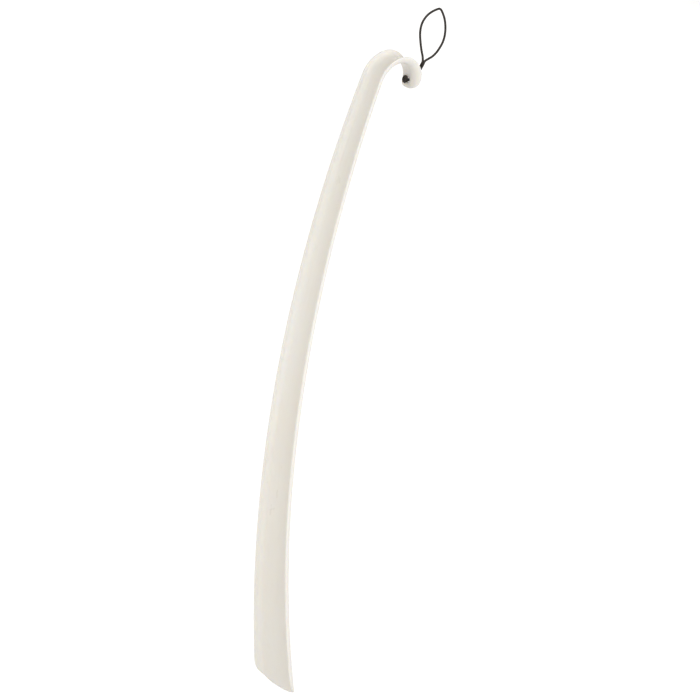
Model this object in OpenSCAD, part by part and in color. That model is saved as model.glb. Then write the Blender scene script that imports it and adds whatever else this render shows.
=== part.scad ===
// Long shoehorn: a bowed, channelled plastic horn with a hook at the top,
// and a knotted cord loop threaded through the tab at the end of the hook.
//
// Frame, in millimetres: the origin is the highest point of the inside of the hook,
// where a rail or peg carries the horn. +Z is up, +X points from the handle to the
// tab of the hook, and Y runs across the channel. The horn hangs plumb in this frame.

/* [Handle] */
// Length along the back of the horn, from the tip of the blade to the foot of the hook
handle_len = 600; // [450:5:750]
// Radius of the long bow, on the back of the floor
bow_r = 1060; // [800:10:2500]
// Lean of the handle at the foot of the hook, in degrees from vertical
top_lean = 7.6; // [0:0.2:12]
// Width over the rims at the foot of the hook
handle_w = 24; // [20:0.5:28]
// Extra width that the even taper adds by the tip of the blade
taper_w = 22; // [10:1:30]
// Height of the channel over the rims at the foot of the hook
handle_h = 7.6; // [6.5:0.1:9]
// Outer radius of the channel's corners at the foot of the hook
handle_corner_r = 7.2; // [3:0.1:7.2]
// Wall thickness
wall = 2.2; // [1.8:0.1:2.6]
// Lean of the side walls away from square, in degrees
draft = 6; // [2:1:15]

/* [Blade] */
// Extra width of the flare, on top of the taper
flare_w = 5; // [0:0.5:12]
// Share of the handle's length over which the blade flares
flare_share = 0.4; // [0.2:0.05:0.6]
// Height of the channel over the rims at the blade
blade_h = 8; // [7:0.1:11]
// Outer radius of the channel's corners at the blade
blade_corner_r = 7.6; // [4.5:0.1:7.6]
// How far the corners of the blade stand back from its tip
blade_round = 26; // [10:1:35]
// Squareness of the blade's rounded end: 2 is an ellipse
blade_power = 2.7; // [2:0.1:4]
// Wall thickness at the tip of the blade
tip_wall = 1.4; // [1:0.1:2]

/* [Hook] */
// Inside radius of the hook
hook_r = 20; // [16:0.5:28]
// Angle that the hook turns through, in degrees
hook_sweep = 171; // [150:1:185]
// Straight length of the tab after the hook
tab_len = 4; // [2:0.5:8]
// Width over the rims at the end of the tab
tab_w = 21; // [18:0.5:26]
// How far the corners of the tab stand back from its tip
tab_round = 11.5; // [6:0.5:12]

/* [Cord] */
// Diameter of the cord
cord_d = 2; // [1.6:0.1:2.1]
// Diameter of the cord hole in the tab
hole_d = 4.6; // [4.6:0.1:5]
// Distance from the tip of the tab to the middle of the cord hole
hole_back = 7.2; // [6:0.2:9]
// Width of the stop knot, across the hole
knot_d = 6.8; // [6:0.2:8]
// Thickness of the stop knot, along the hole
knot_t = 5; // [4:0.2:7]
// Turn of the loop's plane from the plane of the hook, in degrees
loop_turn = 35; // [0:5:60]

/* [Hidden] */

ivory = "#EBE7DC";
dark_brown = "#33291F";

// Points along half of a section: floor, corner and side wall
FLOOR_PTS = 2;
CORNER_PTS = 5;
HALF_PTS = FLOOR_PTS + CORNER_PTS + 1;
// Corners of the rounded rim between the two faces of a wall
RIM_PTS = 3;
// Rows along the handle, the hook and the tab, and the lengths that the end rows lean over
HANDLE_ROWS = 34;
HOOK_ROWS = 26;
TAB_ROWS = 5;
BLADE_ZONE = 3 * blade_round;
TAB_ZONE = 3 * tab_round;
THIN_ZONE = 120;
// Extra rows crowd towards the tip of the blade by this power
CROWD = 1.5;

deg_per_mm = 180 / PI / hook_r;
hook_len = hook_sweep / deg_per_mm;
horn_top = hook_len + tab_len;

// The cord hole: how far along the horn, its middle on the inner face, and its axis
hole_s = horn_top - hole_back;
hole_axis = outward(hole_s);
hole_at = back(hole_s);

// Gap that keeps the knot off the curved inner face of the tab
KNOT_GAP = 0.7;
knot_at = hole_at - (KNOT_GAP + knot_t / 2) * hole_axis;
// The two strands lie side by side in the hole, this far either side of its axis
strand_y = 1.05;
// The cord bends this far out from the inner face, where the loop swings
bend_out = 7;
bend_gap = 1;
bend_at = hole_at + bend_out * hole_axis;

CORD_SIDES = 8;
RING_STEP = 4;
CURVE_STEPS = 8;

// Route of the loop beside the bend, as [along the loop's plane, height] from the
// crossing of the strands, chosen by hand: up the inner strand, over the tip, down the outer
LOOP_FOOT = [34, 0, 0];
LOOP_POINTS = [
    [-1, 1.2], [-2.2, 5.4], [-4.2, 9.6], [-6, 13.8], [-7.6, 18], [-9, 22], [-10.1, 26.4], [-10.6, 31],
    [-10.3, 35.4], [-8.8, 40.2], [-6.4, 44.2], [-3.4, 47.3], [-0.6, 49.4], [1.4, 50.3], [3.2, 49.4],
    [4.9, 47.3], [7, 44.3], [8.9, 40.6], [10.5, 36.2], [11.6, 31.8], [12.2, 26.6], [11.9, 21.4],
    [10.8, 16.8], [8.9, 11.5], [6.2, 7.2], [3.6, 4.6], [1, 1.8]];
// Rise of the two strands from the bend to the crossing, as [x, z] on the middle plane
RISE_POINTS = [[28.6, -14.2], [30.2, -11.8], [31, -8.6], [31.8, -5], [33, -2]];

// ---- small helpers ----

function mix(a, b, t) = a + (b - a) * t;
function unit_clamp(t) = max(0, min(1, t));
function sum_to(list, n) = n < 0 ? 0 : list[n] + sum_to(list, n - 1);

// ---- line of the horn: s runs from -handle_len at the tip of the blade, through 0 at the
// foot of the hook, to horn_top at the tip of the tab ----

function heading(s) =
    s < 0 ? top_lean + s / bow_r * 180 / PI
    : top_lean + min(s, hook_len) * deg_per_mm;

function on_hook(h) = [-hook_r * cos(h), 0, -hook_r + hook_r * sin(h)];

function back(s) =
    s < 0 ? on_hook(top_lean) + bow_r * [
        cos(top_lean) - cos(heading(s)), 0, sin(heading(s)) - sin(top_lean)]
    : on_hook(heading(s)) + max(0, s - hook_len) * [sin(heading(s)), 0, cos(heading(s))];

// Direction from the back of the floor to the open side of the channel
function outward(s) = [-cos(heading(s)), 0, sin(heading(s))];

// ---- section of the channel ----

// Share of the way from the foot of the hook to the tip of the blade
function down(s) = unit_clamp(-s / handle_len);

function width(s) =
    s > 0 ? mix(handle_w, tab_w, s / horn_top)
    : handle_w + taper_w * down(s) + flare_w * pow(unit_clamp((down(s) - 1 + flare_share) / flare_share), 2);

function height(s) = mix(handle_h, blade_h, 1 - pow(1 - down(s), 2));
function corner(s) = mix(handle_corner_r, blade_corner_r, down(s));
function thick(s) = mix(tip_wall, wall, unit_clamp((s + handle_len) / THIN_ZONE));

// Half of the outer face, and the same path moved in by the wall, as [y, height above the back]
function wall_run(s) =
    (height(s) - thick(s) / 2 - corner(s) * (1 - sin(draft))) / cos(draft);
function flat_half(s) =
    width(s) / 2 - corner(s) * cos(draft) - wall_run(s) * sin(draft);

function half_point(s, i, inset) =
    let (r = corner(s) - inset, a = (90 - draft) * unit_clamp((i - FLOOR_PTS) / CORNER_PTS))
    i <= FLOOR_PTS ? [flat_half(s) * i / FLOOR_PTS, inset]
    : [flat_half(s) + r * sin(a), corner(s) - r * cos(a)]
        + (i > FLOOR_PTS + CORNER_PTS ? wall_run(s) : 0) * [sin(draft), cos(draft)];

// Share of the half section's flattened length that lies inside point i
function flat_share(s, i) =
    let (arc = corner(s) * (90 - draft) * PI / 180, total = flat_half(s) + arc + wall_run(s))
    i <= FLOOR_PTS ? flat_half(s) * i / FLOOR_PTS / total
    : i <= FLOOR_PTS + CORNER_PTS ? (flat_half(s) + arc * (i - FLOOR_PTS) / CORNER_PTS) / total
    : 1;

function rim_point(s, k) =
    let (
        outer = half_point(s, HALF_PTS, 0),
        inner = half_point(s, HALF_PTS, thick(s)),
        a = 180 * k / (RIM_PTS + 1))
    (outer + inner) / 2 + (outer - inner) / 2 * cos(a) + thick(s) / 2 * sin(a) * [sin(draft), cos(draft)];

// One closed ring, as [y, height, share]: outer face from rim to rim, then the inner face back
RING = concat(
    [for (i = [-HALF_PTS : HALF_PTS]) ["outer", i]],
    [for (k = [1 : RIM_PTS]) ["rim", k]],
    [for (i = [HALF_PTS : -1 : -HALF_PTS]) ["inner", i]],
    [for (k = [RIM_PTS : -1 : 1]) ["rim", -k]]);
RING_PTS = len(RING);

function section_point(s, entry) =
    let (
        side = sign(entry[1]),
        i = abs(entry[1]),
        p = entry[0] == "rim" ? rim_point(s, i) : half_point(s, i, entry[0] == "inner" ? thick(s) : 0))
    [side * p[0], p[1]];

function entry_share(s, entry) = entry[0] == "rim" ? 1 : flat_share(s, abs(entry[1]));

// How far a rounded end stands back at a share of the flattened half width
function stand_back(share, depth, power) = depth * (1 - pow(1 - pow(share, power), 1 / power));

// Rows of the horn's mesh: their places on the middle of the floor
ROWS = concat(
    [for (i = [0 : HANDLE_ROWS]) -handle_len * (1 - pow(i / HANDLE_ROWS, CROWD))],
    [for (i = [1 : HOOK_ROWS]) hook_len * i / HOOK_ROWS],
    [for (i = [1 : TAB_ROWS]) hook_len + tab_len * i / TAB_ROWS]);

// Rows near the two ends lean back at the rims, so that the last ones follow the rounded ends
function leaned(s, entry) =
    s + stand_back(entry_share(-handle_len, entry), blade_round, blade_power)
            * unit_clamp(1 - (s + handle_len) / BLADE_ZONE)
        - stand_back(entry_share(horn_top, entry), tab_round, 2)
            * unit_clamp(1 - (horn_top - s) / TAB_ZONE);

function on_horn(s, entry) =
    let (p = section_point(s, entry))
    back(s) + p[1] * outward(s) + [0, p[0], 0];

// ---- meshes ----

// Closed skin around rings of the same number of points
module skin(rings, caps) {
    n = len(rings[0]);
    sides = [for (r = [0 : len(rings) - 2], i = [0 : n - 1])
        let (a = r * n + i, b = r * n + (i + 1) % n)
        each [[a, b, b + n], [a, b + n, a + n]]];
    last = (len(rings) - 1) * n;
    polyhedron(
        points = [for (ring = rings) each ring],
        faces = concat(
            sides,
            [for (f = caps) [f[2], f[1], f[0]]],
            [for (f = caps) [f[0] + last, f[1] + last, f[2] + last]]),
        convexity = 10);
}

// End cap of the horn: pairs each point of the outer face with its partner on the inner face
OUTER_LAST = 2 * HALF_PTS;
INNER_LAST = RING_PTS - RIM_PTS - 1;
HORN_CAP = concat(
    [for (i = [0 : OUTER_LAST - 1])
        each [[i, i + 1, INNER_LAST - i], [i + 1, INNER_LAST - i - 1, INNER_LAST - i]]],
    [for (k = [0 : RIM_PTS - 1]) [OUTER_LAST, OUTER_LAST + 1 + k, OUTER_LAST + 2 + k]],
    [for (k = [0 : RIM_PTS - 1]) [0, INNER_LAST + k, INNER_LAST + k + 1]]);

module horn_shell() {
    skin([for (s = ROWS) [for (entry = RING) on_horn(leaned(s, entry), entry)]], HORN_CAP);
}

// Turns +Z to the axis of the cord hole
module along_hole() {
    rotate([0, 90 - asin(hole_axis[2]), 0]) children();
}

// ---- cord ----

function cross_unit(a, b) = cross(a, b) / norm(cross(a, b));

// Points of a smooth curve through a list of points
function catmull(p0, p1, p2, p3, t) =
    0.5 * (2 * p1 + (p2 - p0) * t + (2 * p0 - 5 * p1 + 4 * p2 - p3) * t * t
        + (3 * p1 - p0 - 3 * p2 + p3) * t * t * t);

function smooth(route) =
    let (last = len(route) - 1)
    concat(
        [for (i = [0 : last - 1], k = [0 : CURVE_STEPS - 1])
            catmull(
                route[max(0, i - 1)], route[i], route[i + 1], route[min(last, i + 2)],
                k / CURVE_STEPS)],
        [route[last]]);

// Every so many points of a curve, so that rings are RING_STEP apart, with both ends kept
function spaced(curve) =
    let (
        steps = [for (i = [0 : len(curve) - 2]) norm(curve[i + 1] - curve[i])],
        run = [for (i = 0, d = 0; i < len(curve); d = d + (i < len(steps) ? steps[i] : 0), i = i + 1) d],
        total = run[len(run) - 1],
        count = ceil(total / RING_STEP))
    [for (k = [0 : count]) curve[min([for (i = [0 : len(run) - 1])
        if (run[i] >= total * k / count - 0.001) i])]];

// Tube of the cord's diameter along points that stay near one plane, whose normal is given
module tube(points, normal) {
    last = len(points) - 1;
    rings = [for (i = [0 : last])
        let (
            ahead = points[min(last, i + 1)] - points[max(0, i - 1)],
            side = cross_unit(ahead, normal),
            up = cross_unit(side, ahead))
        [for (k = [0 : CORD_SIDES - 1])
            let (a = 360 * k / CORD_SIDES)
            points[i] + cord_d / 2 * (cos(a) * side + sin(a) * up)]];
    skin(rings, [for (k = [1 : CORD_SIDES - 2]) [0, k, k + 1]]);
}

// A point of the loop, from its place in the loop's own plane
function on_loop(p) = LOOP_FOOT + [p[0] * cos(loop_turn), -p[0] * sin(loop_turn), p[1]];

function rise(side, order) =
    [for (i = order) [RISE_POINTS[i][0], side * strand_y, RISE_POINTS[i][1]]];

loop_start = bend_at + bend_gap * hole_axis;
RISE_LAST = len(RISE_POINTS) - 1;
LOOP_ROUTE = concat(
    [loop_start + [0, strand_y, 0]],
    rise(1, [0 : RISE_LAST]),
    [for (p = LOOP_POINTS) on_loop(p)],
    rise(-1, [RISE_LAST : -1 : 0]),
    [loop_start - [0, strand_y, 0]]);

// ---- sub-parts ----

module horn() {
    color(ivory)
    difference() {
        horn_shell();
        translate(hole_at) along_hole() cylinder(h = 4 * wall, d = hole_d, center = true, $fn = 48);
    }
}

module cord_tails() {
    color(dark_brown)
    for (side = [-1, 1])
        translate(knot_at + [0, side * strand_y, 0])
            along_hole() cylinder(h = norm(bend_at - knot_at), d = cord_d, $fn = 24);
}

module stop_knot() {
    color(dark_brown)
    difference() {
        translate(knot_at) along_hole() rotate_extrude($fn = 48)
            intersection() {
                scale([knot_d, knot_t]) circle(d = 1, $fn = 32);
                translate([0, -knot_t / 2]) square([knot_d / 2, knot_t]);
            }
        cord_tails();
    }
}

module hang_loop() {
    color(dark_brown)
    tube(spaced(smooth(LOOP_ROUTE)), [sin(loop_turn), cos(loop_turn), 0]);
}

horn();
cord_tails();
stop_knot();
hang_loop();
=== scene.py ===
"""Looks of the long shoehorn: one bowed ivory moulding with a hook, and a knotted brown cord loop.

The shapes repeat the CAD's own formulas, in metres, with more points and with rounded edges.
Frame: the origin is the highest point of the inside of the hook, +Z up, +X towards the tab.
"""

import math

import bmesh
import bpy
from mathutils import Matrix, Vector


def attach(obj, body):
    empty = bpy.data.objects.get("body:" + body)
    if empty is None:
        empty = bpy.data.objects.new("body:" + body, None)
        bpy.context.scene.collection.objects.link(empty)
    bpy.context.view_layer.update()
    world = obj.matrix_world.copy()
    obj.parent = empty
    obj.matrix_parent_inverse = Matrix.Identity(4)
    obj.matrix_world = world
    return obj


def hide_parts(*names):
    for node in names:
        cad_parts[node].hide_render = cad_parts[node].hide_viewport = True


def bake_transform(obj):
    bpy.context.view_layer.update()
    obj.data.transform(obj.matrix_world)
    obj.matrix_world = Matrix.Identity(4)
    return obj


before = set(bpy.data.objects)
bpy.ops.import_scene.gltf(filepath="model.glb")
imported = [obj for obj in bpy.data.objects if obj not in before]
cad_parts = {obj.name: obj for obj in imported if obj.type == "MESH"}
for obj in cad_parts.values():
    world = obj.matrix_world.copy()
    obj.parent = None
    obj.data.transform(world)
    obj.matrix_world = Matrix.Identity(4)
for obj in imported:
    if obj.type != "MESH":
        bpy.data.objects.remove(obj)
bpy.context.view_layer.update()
scene = bpy.context.scene
MM = 0.001

# ---- sizes of the moulding, in millimetres, as in the CAD ----

HANDLE_LEN = 600
BOW_R = 1060
TOP_LEAN = 7.6
HANDLE_W = 24
TAPER_W = 22
HANDLE_H = 7.6
HANDLE_CORNER_R = 7.2
WALL = 2.2
DRAFT = 6
FLARE_W = 5
FLARE_SHARE = 0.4
BLADE_H = 8
BLADE_CORNER_R = 7.6
BLADE_ROUND = 26
BLADE_POWER = 2.7
TIP_WALL = 1.4
HOOK_R = 20
HOOK_SWEEP = 171
TAB_LEN = 4
TAB_W = 21
TAB_ROUND = 11.5
TAB_POWER = 2
CORD_D = 2
HOLE_D = 4.6
HOLE_BACK = 7.2
KNOT_T = 5
KNOT_GAP = 0.7
LOOP_TURN = 35
STRAND_Y = 1.05
THIN_ZONE = 120
BLADE_ZONE = 3 * BLADE_ROUND
TAB_ZONE = 3 * TAB_ROUND

# ---- the camera, at the photographed angle ----

CAMERA_AT = (-3.0304, -2.7339, 0.8166)
CAMERA_RIGHT = (0.6918, -0.6759, 0.2542)
CAMERA_UP = (0.0095, 0.3605, 0.9327)
CAMERA_BACK = (-0.7220, -0.6429, 0.2558)
CAMERA_LENS = 244.1
SENSOR = 36


def make_camera():
    data = bpy.data.cameras.new("Camera")
    data.lens = CAMERA_LENS
    data.sensor_width = SENSOR
    data.clip_start, data.clip_end = 0.1, 100
    camera = bpy.data.objects.new("Camera", data)
    axes = Matrix((CAMERA_RIGHT, CAMERA_UP, CAMERA_BACK)).transposed()
    camera.matrix_world = Matrix.Translation(CAMERA_AT) @ axes.to_4x4()
    scene.collection.objects.link(camera)
    scene.camera = camera


make_camera()

# ---- small helpers ----


def mix(a, b, t):
    return a + (b - a) * t


def unit_clamp(t):
    return max(0.0, min(1.0, t))


def sin_d(a):
    return math.sin(math.radians(a))


def cos_d(a):
    return math.cos(math.radians(a))


# ---- line of the horn: s runs from -HANDLE_LEN at the tip of the blade to HORN_TOP at the
# tip of the tab, in millimetres ----

HOOK_LEN = math.radians(HOOK_SWEEP) * HOOK_R
HORN_TOP = HOOK_LEN + TAB_LEN


def heading(s):
    if s < 0:
        return TOP_LEAN + math.degrees(s / BOW_R)
    return TOP_LEAN + math.degrees(min(s, HOOK_LEN) / HOOK_R)


def on_hook(h):
    return Vector((-HOOK_R * cos_d(h), 0, -HOOK_R + HOOK_R * sin_d(h)))


def back(s):
    h = heading(s)
    if s < 0:
        bow = Vector((cos_d(TOP_LEAN) - cos_d(h), 0, sin_d(h) - sin_d(TOP_LEAN)))
        return on_hook(TOP_LEAN) + BOW_R * bow
    return on_hook(h) + max(0, s - HOOK_LEN) * Vector((sin_d(h), 0, cos_d(h)))


def outward(s):
    h = heading(s)
    return Vector((-cos_d(h), 0, sin_d(h)))


# ---- section of the channel ----


def down(s):
    return unit_clamp(-s / HANDLE_LEN)


def width(s):
    if s > 0:
        return mix(HANDLE_W, TAB_W, s / HORN_TOP)
    flare = unit_clamp((down(s) - 1 + FLARE_SHARE) / FLARE_SHARE)
    return HANDLE_W + TAPER_W * down(s) + FLARE_W * flare * flare


def height(s):
    return mix(HANDLE_H, BLADE_H, 1 - (1 - down(s)) ** 2)


def corner(s):
    return mix(HANDLE_CORNER_R, BLADE_CORNER_R, down(s))


def thick(s):
    return mix(TIP_WALL, WALL, unit_clamp((s + HANDLE_LEN) / THIN_ZONE))


def wall_run(s):
    return (height(s) - thick(s) / 2 - corner(s) * (1 - sin_d(DRAFT))) / cos_d(DRAFT)


def flat_half(s):
    return width(s) / 2 - corner(s) * cos_d(DRAFT) - wall_run(s) * sin_d(DRAFT)


# Points along half of a section
FLOOR_PTS = 10
CORNER_PTS = 12
WALL_PTS = 6
HALF_PTS = FLOOR_PTS + CORNER_PTS + WALL_PTS
WALL_CROWDING = 1.8
RIM_PTS = 7
# Rows along the horn, in millimetres apart at most
HANDLE_STEP = 3.2
END_STEP = 1.1
END_ZONE = 45
HOOK_STEP = 0.9


def half_point(s, i, inset):
    """A point of half a section, as (y, height above the back)."""
    r = corner(s) - inset
    if i <= FLOOR_PTS:
        return flat_half(s) * i / FLOOR_PTS, inset
    if i <= FLOOR_PTS + CORNER_PTS:
        a = (90 - DRAFT) * (i - FLOOR_PTS) / CORNER_PTS
        return flat_half(s) + r * sin_d(a), corner(s) - r * cos_d(a)
    run = wall_run(s) * wall_share(i)
    return (
        flat_half(s) + r * cos_d(DRAFT) + run * sin_d(DRAFT),
        corner(s) - r * sin_d(DRAFT) + run * cos_d(DRAFT),
    )


def wall_share(i):
    """How far up the wall point i is: the points crowd towards the rim."""
    t = (i - FLOOR_PTS - CORNER_PTS) / WALL_PTS
    return 1 - (1 - t) ** WALL_CROWDING


def flat_share(s, i):
    """Share of the flattened half section that lies inside point i."""
    arc = corner(s) * math.radians(90 - DRAFT)
    total = flat_half(s) + arc + wall_run(s)
    if i <= FLOOR_PTS:
        return flat_half(s) * i / FLOOR_PTS / total
    if i <= FLOOR_PTS + CORNER_PTS:
        return (flat_half(s) + arc * (i - FLOOR_PTS) / CORNER_PTS) / total
    return (flat_half(s) + arc + wall_run(s) * wall_share(i)) / total


def stand_back(share, depth, power):
    return depth * (1 - (1 - min(share, 1) ** power) ** (1 / power))


def leaned(s, i):
    """Rows near the two ends lean back at the rims, so the last ones follow the rounded ends."""
    i = abs(i)
    blade = stand_back(flat_share(-HANDLE_LEN, i), BLADE_ROUND, BLADE_POWER)
    tab = stand_back(flat_share(HORN_TOP, i), TAB_ROUND, TAB_POWER)
    return (
        s
        + blade * unit_clamp(1 - (s + HANDLE_LEN) / BLADE_ZONE)
        - tab * unit_clamp(1 - (HORN_TOP - s) / TAB_ZONE)
    )


def on_horn(s, i, inset):
    y, h = half_point(s, abs(i), inset)
    return back(s) + h * outward(s) + Vector((0, math.copysign(y, i), 0))


def horn_rows():
    """Places of the rows, closer together at the rounded ends and round the hook."""
    rows, s = [], -HANDLE_LEN + TIP_WALL / 2
    top = HORN_TOP - WALL / 2
    while s < -HOOK_STEP:
        rows.append(s)
        near_tip = unit_clamp((s + HANDLE_LEN) / END_ZONE)
        near_hook = unit_clamp(-s / END_ZONE)
        s += mix(END_STEP, HANDLE_STEP, min(near_tip, near_hook))
    steps = round(top / HOOK_STEP)
    return rows + [top * k / steps for k in range(steps + 1)]


# ---- meshes ----


def new_object(name, mesh):
    obj = bpy.data.objects.new(name, mesh)
    scene.collection.objects.link(obj)
    return obj


def finish_mesh(bm, name, smooth=True):
    bmesh.ops.recalc_face_normals(bm, faces=bm.faces[:])
    mesh = bpy.data.meshes.new(name)
    bm.to_mesh(mesh)
    bm.free()
    for face in mesh.polygons:
        face.use_smooth = smooth
    return new_object(name, mesh)


def horn_mesh():
    """A grid of outer and inner points, joined round its whole outline by a half-round edge."""
    rows = horn_rows()
    across = range(-HALF_PTS, HALF_PTS + 1)
    grid = {}
    for r, row in enumerate(rows):
        for i in across:
            s = leaned(row, i)
            t = thick(s)
            grid[r, i] = (on_horn(s, i, 0), on_horn(s, i, t), t)
    bm = bmesh.new()
    outer, inner = {}, {}
    for key, (a, b, _) in grid.items():
        outer[key] = bm.verts.new(a * MM)
        inner[key] = bm.verts.new(b * MM)
    last = len(rows) - 1
    for r in range(last):
        for i in across[:-1]:
            a, b, c, d = (r, i), (r, i + 1), (r + 1, i + 1), (r + 1, i)
            bm.faces.new([outer[k] for k in (a, b, c, d)])
            bm.faces.new([inner[k] for k in (d, c, b, a)])
    outline = (
        [(0, i) for i in across]
        + [(r, HALF_PTS) for r in range(1, last + 1)]
        + [(last, i) for i in reversed(across[:-1])]
        + [(r, -HALF_PTS) for r in range(last - 1, 0, -1)]
    )
    count = len(outline)
    arcs = []
    for n, key in enumerate(outline):
        a, b, t = grid[key]
        a0, b0, _ = grid[outline[n - 1]]
        a1, b1, _ = grid[outline[(n + 1) % count]]
        along = (a1 + b1 - a0 - b0).normalized()
        out = along.cross(a - b).normalized()
        arc = [outer[key]]
        for k in range(1, RIM_PTS + 1):
            angle = math.pi * k / (RIM_PTS + 1)
            p = (a + b) / 2 + (a - b) / 2 * math.cos(angle) + out * (t / 2 * math.sin(angle))
            arc.append(bm.verts.new(p * MM))
        arcs.append(arc + [inner[key]])
    for n in range(count):
        one, two = arcs[n], arcs[(n + 1) % count]
        for k in range(RIM_PTS + 1):
            bm.faces.new((one[k], two[k], two[k + 1], one[k + 1]))
    return finish_mesh(bm, "horn_moulding")


horn = horn_mesh()

HOLE_S = HORN_TOP - HOLE_BACK
HOLE_AT = back(HOLE_S)
HOLE_AXIS = outward(HOLE_S)


def along_hole(obj):
    """Turns a tool or a piece whose +Z is the hole's axis to its place on the tab."""
    turn = HOLE_AXIS.to_track_quat("Z", "Y").to_matrix().to_4x4()
    obj.data.transform(Matrix.Translation(HOLE_AT * MM) @ turn)


HOLE_EDGE = 0.35
HOLE_EDGE_PTS = 6
HOLE_SIDES = 72
# How far the tool reaches past the wall at either side, in millimetres
HOLE_TOOL_OVER = 3


def cut_cord_hole():
    """Bores the cord hole, with a small round at both of its mouths."""
    profile = [(HOLE_D / 2 + 2 * HOLE_EDGE, -HOLE_TOOL_OVER)]
    for k in range(HOLE_EDGE_PTS + 1):
        a = math.pi / 2 * k / HOLE_EDGE_PTS
        profile.append(
            (HOLE_D / 2 + HOLE_EDGE * (1 - math.sin(a)), HOLE_EDGE * (1 - math.cos(a)))
        )
    far = [(r, WALL - z) for r, z in reversed(profile)]
    bm = bmesh.new()
    rings = []
    for r, z in profile + far:
        ring = []
        for k in range(HOLE_SIDES):
            a = 2 * math.pi * k / HOLE_SIDES
            ring.append(bm.verts.new((r * math.cos(a) * MM, r * math.sin(a) * MM, z * MM)))
        rings.append(ring)
    for one, two in zip(rings, rings[1:]):
        for k in range(HOLE_SIDES):
            n = (k + 1) % HOLE_SIDES
            bm.faces.new((one[k], one[n], two[n], two[k]))
    bm.faces.new(list(reversed(rings[0])))
    bm.faces.new(rings[-1])
    tool = finish_mesh(bm, "hole_tool")
    along_hole(tool)
    cut = horn.modifiers.new("hole", "BOOLEAN")
    cut.operation, cut.solver, cut.object = "DIFFERENCE", "EXACT", tool
    bpy.context.view_layer.objects.active = horn
    depsgraph = bpy.context.evaluated_depsgraph_get()
    mesh = bpy.data.meshes.new_from_object(horn.evaluated_get(depsgraph))
    horn.modifiers.clear()
    old, horn.data = horn.data, mesh
    bpy.data.meshes.remove(old)
    bpy.data.objects.remove(tool)


cut_cord_hole()

# ---- the cord: one strand from the knot, out through the hole, round the loop and back ----

LOOP_FOOT = Vector((34, 0, 0))
LOOP_POINTS = [
    (-1, 1.2), (-2.2, 5.4), (-4.2, 9.6), (-6, 13.8), (-7.6, 18), (-9, 22), (-10.1, 26.4),
    (-10.6, 31), (-10.3, 35.4), (-8.8, 40.2), (-6.4, 44.2), (-3.4, 47.3), (-0.6, 49.4),
    (1.4, 50.3), (3.2, 49.4), (4.9, 47.3), (7, 44.3), (8.9, 40.6), (10.5, 36.2), (11.6, 31.8),
    (12.2, 26.6), (11.9, 21.4), (10.8, 16.8), (8.9, 11.5), (6.2, 7.2), (3.6, 4.6), (1, 1.8),
]
# Distances along the hole's axis from the middle of the knot
STRAIGHT_RUN = (1.5, 4, 6.5, 9)
RISE_POINTS = [(28.6, -14.2), (30.2, -11.8), (31, -8.6), (31.8, -5), (33, -2)]
KNOT_AT = HOLE_AT - (KNOT_GAP + KNOT_T / 2) * HOLE_AXIS


def on_loop(p):
    return LOOP_FOOT + Vector((p[0] * cos_d(LOOP_TURN), -p[0] * sin_d(LOOP_TURN), p[1]))


def strand(side):
    """Route of one strand from the knot to the foot of the loop."""
    offset = Vector((0, side * STRAND_Y, 0))
    straight = [KNOT_AT + t * HOLE_AXIS for t in STRAIGHT_RUN]
    rise = [Vector((x, 0, z)) for x, z in RISE_POINTS]
    return [p + offset for p in straight + rise]


def catmull(p, t):
    return 0.5 * (
        2 * p[1]
        + (p[2] - p[0]) * t
        + (2 * p[0] - 5 * p[1] + 4 * p[2] - p[3]) * t * t
        + (3 * p[1] - p[0] - 3 * p[2] + p[3]) * t * t * t
    )


def smooth_route(route, steps=24):
    last = len(route) - 1
    curve = []
    for i in range(last):
        p = [route[max(0, i - 1)], route[i], route[i + 1], route[min(last, i + 2)]]
        curve += [catmull(p, k / steps) for k in range(steps)]
    return curve + [route[last]]


def even(curve, step):
    """The same curve with points an equal distance apart."""
    run = [0.0]
    for a, b in zip(curve, curve[1:]):
        run.append(run[-1] + (b - a).length)
    count = max(2, round(run[-1] / step))
    points, i = [], 0
    for k in range(count + 1):
        at = run[-1] * k / count
        while i < len(curve) - 2 and run[i + 1] < at:
            i += 1
        points.append(curve[i].lerp(curve[i + 1], (at - run[i]) / (run[i + 1] - run[i])))
    return points


CORD_SIDES = 24
TWIST_PITCH = 4.6
PLIES = 3
GROOVE = 0.07
GROOVE_SHARPNESS = 1.5
# The plies stand out a little beyond the cord's stated thickness
PLY_SWELL = 1.04
CORD_STEP = 0.22


def cord_tube(bm, points, radius_at):
    """A tube round points, whose radius at a place along it and an angle comes from a function.

    Its UV map holds real lengths in metres: along the cord, and round it.
    """
    last = len(points) - 1
    normal, run, rings = None, 0.0, []
    for i, p in enumerate(points):
        ahead = (points[min(last, i + 1)] - points[max(0, i - 1)]).normalized()
        if normal is None:
            normal = ahead.orthogonal().normalized()
        normal = (normal - ahead * normal.dot(ahead)).normalized()
        across = ahead.cross(normal)
        if i:
            run += (p - points[i - 1]).length
        ring = []
        for k in range(CORD_SIDES):
            a = 2 * math.pi * k / CORD_SIDES
            r = radius_at(run, a)
            q = p + (math.cos(a) * normal + math.sin(a) * across) * r
            ring.append(bm.verts.new(q * MM))
        rings.append((run, ring))
    uv = bm.loops.layers.uv.verify()
    girth = math.pi * CORD_D / CORD_SIDES
    for (run_a, one), (run_b, two) in zip(rings, rings[1:]):
        for k in range(CORD_SIDES):
            n = (k + 1) % CORD_SIDES
            face = bm.faces.new((one[k], one[n], two[n], two[k]))
            places = ((run_a, k), (run_a, k + 1), (run_b, k + 1), (run_b, k))
            for loop, (along, round_it) in zip(face.loops, places):
                loop[uv].uv = (along * MM, round_it * girth * MM)
    bm.faces.new(list(reversed(rings[0][1])))
    bm.faces.new(rings[-1][1])


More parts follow.
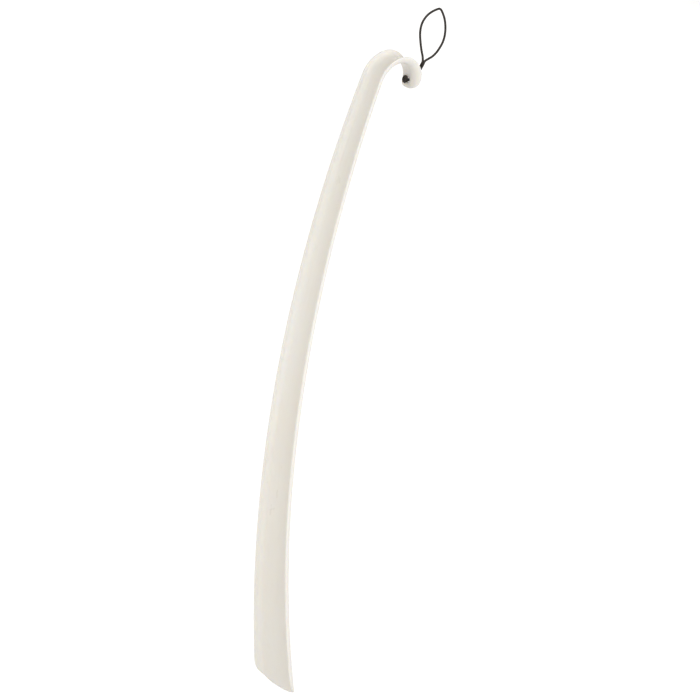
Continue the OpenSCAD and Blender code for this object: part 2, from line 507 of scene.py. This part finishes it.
def ply_radius(run, angle):
    """Radius of the twisted cord: three plies that wind round it."""
    turn = PLIES * (angle - 2 * math.pi * run / TWIST_PITCH)
    groove = GROOVE * (0.5 - 0.5 * math.cos(turn)) ** GROOVE_SHARPNESS
    return CORD_D / 2 * (PLY_SWELL - groove)


def make_cord():
    route = strand(1) + [on_loop(p) for p in LOOP_POINTS] + list(reversed(strand(-1)))
    points = even(smooth_route(route), CORD_STEP)
    bm = bmesh.new()
    cord_tube(bm, points, ply_radius)
    return finish_mesh(bm, "cord"), points


cord, cord_path = make_cord()

# ---- the stop knot: both strands in one overhand knot, drawn as two closed trefoils and two
# short cut ends ----

KNOT_STEPS = 220
KNOT_TURN_R = 1.5
KNOT_WEAVE = 1.0
KNOT_LIFT = 1.15
# Degrees by which each strand's weave is shifted either way, so that the two lie side by side
KNOT_PHASE = 40
# The knot is drawn a little narrow across the channel and long along it
KNOT_SQUASH, KNOT_STRETCH = 0.7, 1.14
# Its middle, in millimetres from the hole's, as along_hole has it: +Z points out of the hook
KNOT_SHIFT = (0.9, 0.8, -2.45)
# Share of the cord's thickness that a strand keeps in the tight knot
KNOT_STRAND = 0.95
# The cut ends: their directions, their distances from the knot's axis and their heights on it
END_ANGLES = (70, 215)
END_START, END_STOP = 0.9, 1.3
END_FROM, END_TO = -1.2, -2.4
END_STEPS = 12
# The cut face is a little narrower than the cord, over this last length
END_CUT = 0.86
END_EDGE = 0.1


def knot_radius(run, angle):
    return ply_radius(run, angle) * KNOT_STRAND


def knot_strand(phase):
    """A closed trefoil, whose place round the ring of the knot is shifted by the phase."""
    points = []
    for k in range(KNOT_STEPS + 1):
        t = 4 * math.pi * k / KNOT_STEPS
        weave = 1.5 * t + math.radians(phase)
        r = KNOT_TURN_R + KNOT_WEAVE * math.cos(weave)
        across, up = KNOT_SQUASH * r * math.cos(t), KNOT_STRETCH * r * math.sin(t)
        points.append(Vector((across, up, KNOT_LIFT * math.sin(weave))))
    return points


def make_knot():
    bm = bmesh.new()
    cord_tube(bm, knot_strand(KNOT_PHASE), knot_radius)
    cord_tube(bm, knot_strand(-KNOT_PHASE), knot_radius)
    for angle in END_ANGLES:
        out = Vector((cos_d(angle), sin_d(angle), 0))
        start, stop = END_START * out, END_STOP * out
        start.z, stop.z = END_FROM, END_TO
        end = [start.lerp(stop, k / END_STEPS) for k in range(END_STEPS + 1)]
        whole = (stop - start).length - END_EDGE

        def end_radius(run, a, whole=whole):
            return knot_radius(run, a) * (1 if run < whole else END_CUT)

        cord_tube(bm, end, end_radius)
    knot = finish_mesh(bm, "overhand_knot")
    knot.data.transform(Matrix.Translation(Vector(KNOT_SHIFT) * MM))
    along_hole(knot)
    return knot


knot = make_knot()

# ---- materials ----


def new_material(name):
    material = bpy.data.materials.new(name)
    material.use_nodes = True
    nodes = material.node_tree.nodes
    nodes.clear()
    shader = nodes.new("ShaderNodeBsdfPrincipled")
    output = nodes.new("ShaderNodeOutputMaterial")
    material.node_tree.links.new(shader.outputs[0], output.inputs[0])
    return material, shader


def add(tree, kind, **values):
    """A node, with the values of its inputs given by name."""
    node = tree.nodes.new("ShaderNode" + kind)
    for name, value in values.items():
        node.inputs[name.replace("_", " ")].default_value = value
    return node


def stretched(tree, coordinates, scale, turn=0.0):
    """Coordinates in metres, scaled to features of 1 / scale metres each way."""
    mapping = add(tree, "Mapping", Scale=scale, Rotation=(0, 0, math.radians(turn)))
    tree.links.new(coordinates, mapping.inputs["Vector"])
    return mapping.outputs["Vector"]


def noise_of(tree, vector, detail=3.0, roughness=0.5):
    node = add(tree, "TexNoise", Scale=1.0, Detail=detail, Roughness=roughness)
    tree.links.new(vector, node.inputs["Vector"])
    return node.outputs[0]


def ranged(tree, value, low, high, to_low, to_high):
    node = tree.nodes.new("ShaderNodeMapRange")
    for name, number in (
        ("From Min", low), ("From Max", high), ("To Min", to_low), ("To Max", to_high),
    ):
        node.inputs[name].default_value = number
    tree.links.new(value, node.inputs["Value"])
    return node.outputs["Result"]


def maths(tree, operation, a, b):
    node = tree.nodes.new("ShaderNodeMath")
    node.operation = operation
    for socket, value in zip(node.inputs, (a, b)):
        if isinstance(value, (int, float)):
            socket.default_value = value
        else:
            tree.links.new(value, socket)
    return node.outputs[0]


def blended(tree, factor, one, two):
    node = tree.nodes.new("ShaderNodeMixRGB")
    tree.links.new(factor, node.inputs[0])
    for socket, colour in zip(node.inputs[1:], (one, two)):
        if isinstance(colour, tuple):
            socket.default_value = colour
        else:
            tree.links.new(colour, socket)
    return node.outputs[0]


def bumped(tree, height, distance, below=None):
    """A bump whose height of 0 to 1 stands for that distance in metres."""
    node = add(tree, "Bump", Strength=1.0, Distance=distance)
    tree.links.new(height, node.inputs["Height"])
    if below is not None:
        tree.links.new(below, node.inputs["Normal"])
    return node.outputs[0]


# Sizes of the plastic's features: how many to a metre, each way
CLOUDS = (22, 22, 7)
FLOW_LINES = (260, 260, 5)
SCRATCHES = (1500, 1500, 26)
HAZE = (90, 90, 40)
PEEL = (420, 420, 420)
GRAIN = (3200, 3200, 3200)
# Heights of its bumps, in metres
PEEL_HEIGHT = 0.000045
GRAIN_HEIGHT = 0.000006
SCRATCH_DEPTH = 0.000012
# Where wear starts and where it is full, as heights in metres
TIP_WEAR = (-0.43, -0.6)
HOOK_WEAR = (-0.03, 0.004)
WORN_SCRATCHES, FRESH_SCRATCHES = 0.8, 0.12
IVORY = (0.875, 0.838, 0.782, 1)
IVORY_WARM = (0.850, 0.802, 0.728, 1)
IVORY_PALE = (0.885, 0.857, 0.812, 1)
IVORY_SCUFF = (0.800, 0.767, 0.715, 1)


def ivory_plastic():
    """Moulded ivory plastic: cloudy tone, flow lines, orange peel, and scuffs on the blade."""
    material, shader = new_material("ivory_plastic")
    tree = material.node_tree
    place = add(tree, "TexCoord").outputs["Object"]
    height = add(tree, "SeparateXYZ")
    tree.links.new(place, height.inputs[0])
    clouds = noise_of(tree, stretched(tree, place, CLOUDS), 2.0)
    flow = noise_of(tree, stretched(tree, place, FLOW_LINES), 3.0)
    tone = blended(tree, ranged(tree, clouds, 0.35, 0.65, 0, 1), IVORY, IVORY_PALE)
    tone = blended(tree, ranged(tree, flow, 0.52, 0.8, 0, 0.45), tone, IVORY_WARM)
    # Wear: most at the tip of the blade, and a little inside the hook
    near_tip = ranged(tree, height.outputs["Z"], *TIP_WEAR, 0, 1)
    in_hook = ranged(tree, height.outputs["Z"], *HOOK_WEAR, 0, 0.35)
    wear = maths(tree, "ADD", near_tip, in_hook)
    scratch = noise_of(tree, stretched(tree, place, SCRATCHES), 2.0)
    scratch = ranged(tree, scratch, 0.63, 0.72, 0, 1)
    share = maths(tree, "MULTIPLY", wear, WORN_SCRATCHES)
    share = maths(tree, "ADD", share, FRESH_SCRATCHES)
    scuffs = maths(tree, "MULTIPLY", scratch, share)
    tone = blended(tree, maths(tree, "MULTIPLY", scuffs, 0.35), tone, IVORY_SCUFF)
    tree.links.new(tone, shader.inputs["Base Color"])
    haze = noise_of(tree, stretched(tree, place, HAZE), 4.0, 0.6)
    rough = ranged(tree, haze, 0.3, 0.7, 0.27, 0.38)
    rough = maths(tree, "ADD", rough, maths(tree, "MULTIPLY", wear, 0.08))
    rough = maths(tree, "ADD", rough, maths(tree, "MULTIPLY", scuffs, 0.15))
    tree.links.new(rough, shader.inputs["Roughness"])
    peel = noise_of(tree, stretched(tree, place, PEEL), 2.0)
    grain = noise_of(tree, stretched(tree, place, GRAIN), 2.0)
    skin = bumped(tree, peel, PEEL_HEIGHT)
    skin = bumped(tree, grain, GRAIN_HEIGHT, skin)
    skin = bumped(tree, maths(tree, "MULTIPLY", scuffs, -1.0), SCRATCH_DEPTH, skin)
    tree.links.new(skin, shader.inputs["Normal"])
    shader.inputs["IOR"].default_value = 1.49
    shader.inputs["Subsurface Weight"].default_value = 0.3
    shader.inputs["Subsurface Radius"].default_value = (1.0, 0.8, 0.5)
    shader.inputs["Subsurface Scale"].default_value = 0.004
    return material


CORD_DARK_IN_GROOVE_SHADE = (0.0085, 0.0062, 0.0045, 1)
CORD_BROWN = (0.032, 0.0215, 0.0140, 1)
CORD_WORN = (0.075, 0.052, 0.036, 1)
YARN_LEAN = 12
# How many features to a metre: along the cord and round it, then in the block
YARNS = (420, 5200, 1)
FIBRES = (1100, 16000, 1)
PATCHES = (160, 160, 160)
YARN_HEIGHT = 0.00012
FIBRE_HEIGHT = 0.00003


def brown_cord():
    """Waxed twisted cord: dark brown yarns, with painted shade in the grooves between them, and a
    few worn fibres.
    """
    material, shader = new_material("brown_cord")
    tree = material.node_tree
    along = add(tree, "TexCoord").outputs["UV"]
    place = add(tree, "TexCoord").outputs["Object"]
    yarns = noise_of(tree, stretched(tree, along, YARNS, YARN_LEAN), 3.0, 0.6)
    fibres = noise_of(tree, stretched(tree, along, FIBRES, YARN_LEAN), 2.0)
    patches = noise_of(tree, stretched(tree, place, PATCHES), 2.0)
    # Tone: random between dark and brown, and darker where the yarn bump is low: painted shade in
    # the grooves between the yarns
    tone = blended(tree, ranged(tree, yarns, 0.35, 0.65, 0, 1), CORD_DARK_IN_GROOVE_SHADE, CORD_BROWN)
    worn = maths(tree, "MULTIPLY", ranged(tree, fibres, 0.6, 0.75, 0, 1), patches)
    tone = blended(tree, worn, tone, CORD_WORN)
    tree.links.new(tone, shader.inputs["Base Color"])
    tree.links.new(ranged(tree, patches, 0.3, 0.7, 0.5, 0.72), shader.inputs["Roughness"])
    skin = bumped(tree, yarns, YARN_HEIGHT)
    skin = bumped(tree, fibres, FIBRE_HEIGHT, skin)
    tree.links.new(skin, shader.inputs["Normal"])
    shader.inputs["Sheen Weight"].default_value = 0.05
    shader.inputs["Sheen Roughness"].default_value = 0.45
    shader.inputs["Sheen Tint"].default_value = (0.45, 0.33, 0.24, 1)
    return material


horn.data.materials.clear()
horn.data.materials.append(ivory_plastic())
cord_material = brown_cord()
cord.data.materials.append(cord_material)
knot.data.materials.append(cord_material)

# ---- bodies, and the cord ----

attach(horn, "horn")
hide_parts("horn")
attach(knot, "cord_root")
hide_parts("stop_knot")
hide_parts("cord_tails", "hang_loop")
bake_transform(cord)

# ---- floor and light ----

FLOOR_Z = -1.5
FLOOR_HALF = 14
PAPER = (0.9, 0.9, 0.9, 1)
# The paper glows in an oval behind the shoehorn, which fades at its edge
GLOW_AZIMUTH = 41.7
GLOW_AWAY = 5.5
GLOW_LENGTH, GLOW_WIDTH = 4.0, 1.8
GLOW_FRONT, GLOW_BACK = 0.08, 0.6
# It fades between these shares of its half-axes
GLOW_OUTSIDE, GLOW_INSIDE = 1.35, 0.95


def make_floor():
    bm = bmesh.new()
    for x, y in ((-1, -1), (1, -1), (1, 1), (-1, 1)):
        bm.verts.new((x * FLOOR_HALF, y * FLOOR_HALF, FLOOR_Z))
    bm.faces.new(bm.verts[:])
    floor = finish_mesh(bm, "floor", smooth=False)
    material, shader = new_material("floor_paper")
    tree = material.node_tree
    shader.inputs["Base Color"].default_value = PAPER
    shader.inputs["Roughness"].default_value = 0.9
    shader.inputs["Emission Color"].default_value = (1, 1, 1, 1)
    place = add(tree, "TexCoord").outputs["Object"]
    turned = stretched(tree, place, (1, 1, 1), -GLOW_AZIMUTH)
    oval = add(tree, "Mapping", Location=(-GLOW_AWAY / GLOW_LENGTH, 0, 0))
    oval.inputs["Scale"].default_value = (1 / GLOW_LENGTH, 1 / GLOW_WIDTH, 0)
    tree.links.new(turned, oval.inputs["Vector"])
    far = tree.nodes.new("ShaderNodeVectorMath")
    far.operation = "LENGTH"
    tree.links.new(oval.outputs["Vector"], far.inputs[0])
    far = far.outputs["Value"]
    glow = ranged(tree, far, GLOW_OUTSIDE, GLOW_INSIDE, GLOW_FRONT, GLOW_BACK)
    tree.links.new(glow, shader.inputs["Emission Strength"])
    floor.data.materials.append(material)


make_floor()


# Narrow beams: the light fades a little towards the two ends of the shoehorn
LIGHT_SPREAD = math.radians(36)
LAMP_SIZE = 1.3


def area_light(name, at, target, power, colour=(1, 1, 1)):
    data = bpy.data.lights.new(name, "AREA")
    data.shape = "DISK"
    data.size = LAMP_SIZE
    data.energy = power
    data.spread = LIGHT_SPREAD
    data.color = colour
    light = bpy.data.objects.new(name, data)
    light.location = at
    light.rotation_mode = "QUATERNION"
    light.rotation_quaternion = (Vector(target) - Vector(at)).to_track_quat("-Z", "Y")
    scene.collection.objects.link(light)


# Where the lights point
MIDDLE = (0.0, 0.0, -0.36)
HOOK_END = (0.02, 0.0, 0.0)
area_light("key", (-0.88, -2.42, 0.06), MIDDLE, 1.36, (0.92, 0.96, 1))
area_light("side", (-2.57, 0.22, 0.06), MIDDLE, 0.9, (1, 0.98, 0.93))
area_light("high", (1.0, -1.72, 1.37), HOOK_END, 1.05)
area_light("fill", (1.5, -2.1, -0.1), MIDDLE, 0.42, (0.92, 0.955, 1))

WORLD_COLOUR = (1, 0.985, 0.962, 1)
WORLD_STRENGTH = 0.62
world = bpy.data.worlds.new("Studio")
world.use_nodes = True
background = world.node_tree.nodes["Background"]
background.inputs[0].default_value = WORLD_COLOUR
background.inputs[1].default_value = WORLD_STRENGTH
scene.world = world
scene.view_settings.view_transform = "Standard"
